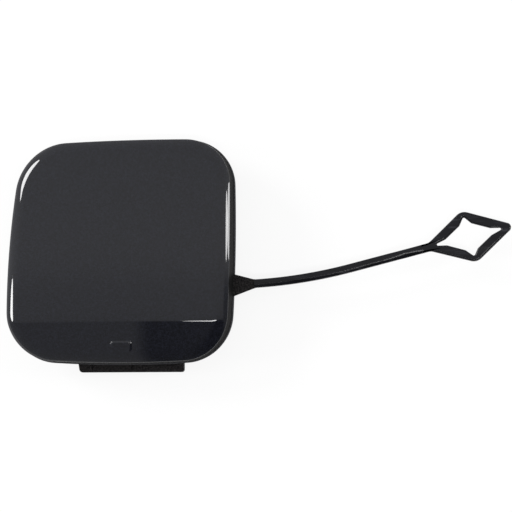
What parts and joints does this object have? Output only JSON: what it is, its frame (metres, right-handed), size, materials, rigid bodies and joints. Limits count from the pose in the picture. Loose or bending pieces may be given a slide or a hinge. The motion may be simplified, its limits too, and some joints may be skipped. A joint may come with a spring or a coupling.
{
  "type": "bumper tow hook cover",
  "caption": "Crowned square panel with a rolled edge, a tongue and snap hooks behind it, and a flat strap that ends in a diamond-shaped anchor.",
  "frame": {"origin": "middle of the panel on the rim plane that seats on the bumper's ledge", "axes": "+Z out of the painted face, +X towards the tether and its anchor, +Y away from the tongue"},
  "size_m": [0.1772, 0.0816, 0.022],
  "materials": {
    "painted_plastic": "dark graphite paint with clear coat on the face",
    "bare_plastic": "unpainted black plastic of the tongue, the hooks, the tether and the back"
  },
  "bodies": {
    "root": {"tow_eye_cover": "painted_plastic"}
  },
  "joints": []
}
